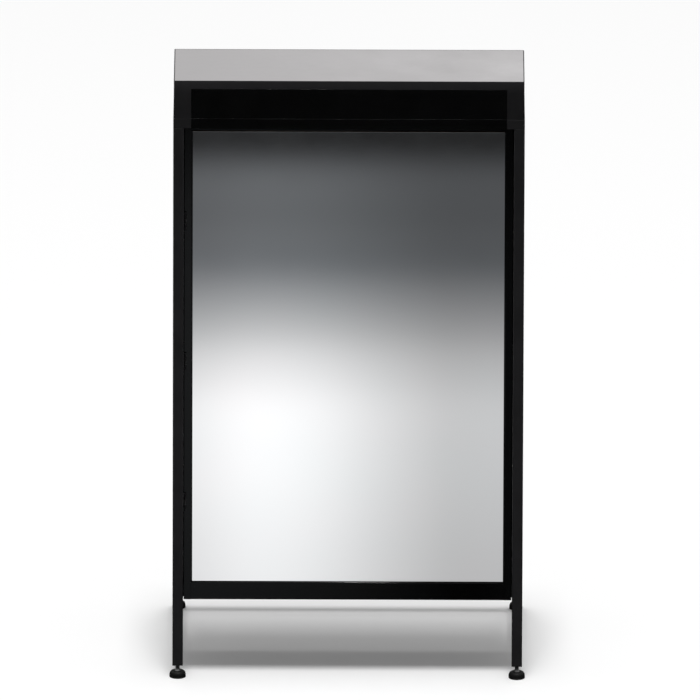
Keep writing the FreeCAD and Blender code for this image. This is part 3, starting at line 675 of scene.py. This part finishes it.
def surroundings():
    """A white backdrop, a soft sky that lights the object, and a studio that shiny surfaces see:
    dark all round, with a broad overhead light."""
    world = bpy.data.worlds.new("studio")
    bpy.context.scene.world = world
    world.use_nodes = True
    tree = world.node_tree
    tree.nodes.clear()

    def background(level):
        node = tree.nodes.new("ShaderNodeBackground")
        node.inputs["Color"].default_value = (1, 1, 1, 1)
        node.inputs["Strength"].default_value = level
        return node

    def choose(test, no, yes):
        node = tree.nodes.new("ShaderNodeMixShader")
        tree.links.new(test, node.inputs["Fac"])
        tree.links.new(no, node.inputs[1])
        tree.links.new(yes, node.inputs[2])
        return node.outputs[0]

    path = tree.nodes.new("ShaderNodeLightPath")
    overhead = background(1.0)
    direction = tree.nodes.new("ShaderNodeSeparateXYZ")
    tree.links.new(tree.nodes.new("ShaderNodeTexCoord").outputs["Generated"], direction.inputs["Vector"])
    climb = tree.nodes.new("ShaderNodeMapRange")
    climb.interpolation_type = "SMOOTHSTEP"
    climb.inputs["From Min"].default_value = 0.0
    climb.inputs["From Max"].default_value = GLOSSY_SKY_FULL
    climb.inputs["To Min"].default_value = GLOSSY_SKY_LOW
    climb.inputs["To Max"].default_value = GLOSSY_SKY_HIGH
    tree.links.new(direction.outputs["Z"], climb.inputs["Value"])
    tree.links.new(climb.outputs["Result"], overhead.inputs["Strength"])
    lit = choose(path.outputs["Is Glossy Ray"], background(SKY_LEVEL).outputs[0], overhead.outputs[0])
    seen = choose(path.outputs["Is Camera Ray"], lit, background(1.0).outputs[0])
    out = tree.nodes.new("ShaderNodeOutputWorld")
    tree.links.new(seen, out.inputs["Surface"])


LAMP_DISTANCE = 30.0


def overhead_lamp(name, tilt, half_x, half_y, power):
    """A broad lamp far overhead, tilted to the front, its half sizes given as angles in degrees."""
    data = bpy.data.lights.new(name, "AREA")
    data.shape = "RECTANGLE"
    data.size = 2 * LAMP_DISTANCE * math.tan(math.radians(half_x))
    data.size_y = 2 * LAMP_DISTANCE * math.tan(math.radians(half_y))
    data.energy = power
    lamp = bpy.data.objects.new(name, data)
    lean = math.radians(tilt)
    lamp.location = (0, FRONT_Y - LAMP_DISTANCE * math.sin(lean), LAMP_DISTANCE * math.cos(lean))
    lamp.rotation_euler = (-lean, 0, 0)
    bpy.context.scene.collection.objects.link(lamp)


# Camera: a long lens, looking down on the front

CAMERA_DISTANCE = 60.0
CAMERA_ELEVATION = math.radians(18.0)
CAMERA_AZIMUTH = math.radians(0.0)
CAMERA_ROLL = math.radians(0.2)
CAMERA_SENSOR = 36.0
CAMERA_CLIP = 200.0
VIEW_WIDTH = 1.3329
AIM = Vector((0.0033, FRONT_Y, 0.6603))


def camera():
    data = bpy.data.cameras.new("camera")
    data.sensor_width = CAMERA_SENSOR
    data.lens = CAMERA_SENSOR * CAMERA_DISTANCE / VIEW_WIDTH
    data.clip_end = CAMERA_CLIP
    back = Vector((
        math.sin(CAMERA_AZIMUTH) * math.cos(CAMERA_ELEVATION),
        -math.cos(CAMERA_AZIMUTH) * math.cos(CAMERA_ELEVATION),
        math.sin(CAMERA_ELEVATION),
    ))
    cam = bpy.data.objects.new("camera", data)
    cam.location = AIM + back * CAMERA_DISTANCE
    upright = (-back).to_track_quat("-Z", "Y").to_matrix().to_4x4()
    roll = Matrix.Rotation(CAMERA_ROLL, 4, "Z")
    cam.matrix_world = Matrix.Translation(cam.location) @ upright @ roll
    bpy.context.scene.collection.objects.link(cam)
    bpy.context.scene.camera = cam


DOOR_FRAME = ("door_stile_left", "door_stile_right", "door_rail_bottom", "door_rail_top")

floor()
reflector("mirror_reflector", 0.002, ("mirror_glass",), MIRROR_FALL, MIRROR_SIDES, MIRROR_GLOW)
reflector("frame_reflector", 0.004, DOOR_FRAME, FRAME_FALL, FRAME_SIDES, FRAME_GLOW)
surroundings()
overhead_lamp("key_light", tilt=9.5, half_x=4.0, half_y=8.0, power=5560)
overhead_lamp("top_light", tilt=0.5, half_x=4.5, half_y=10.0, power=1820)
camera()
bpy.context.scene.view_settings.view_transform = "Standard"
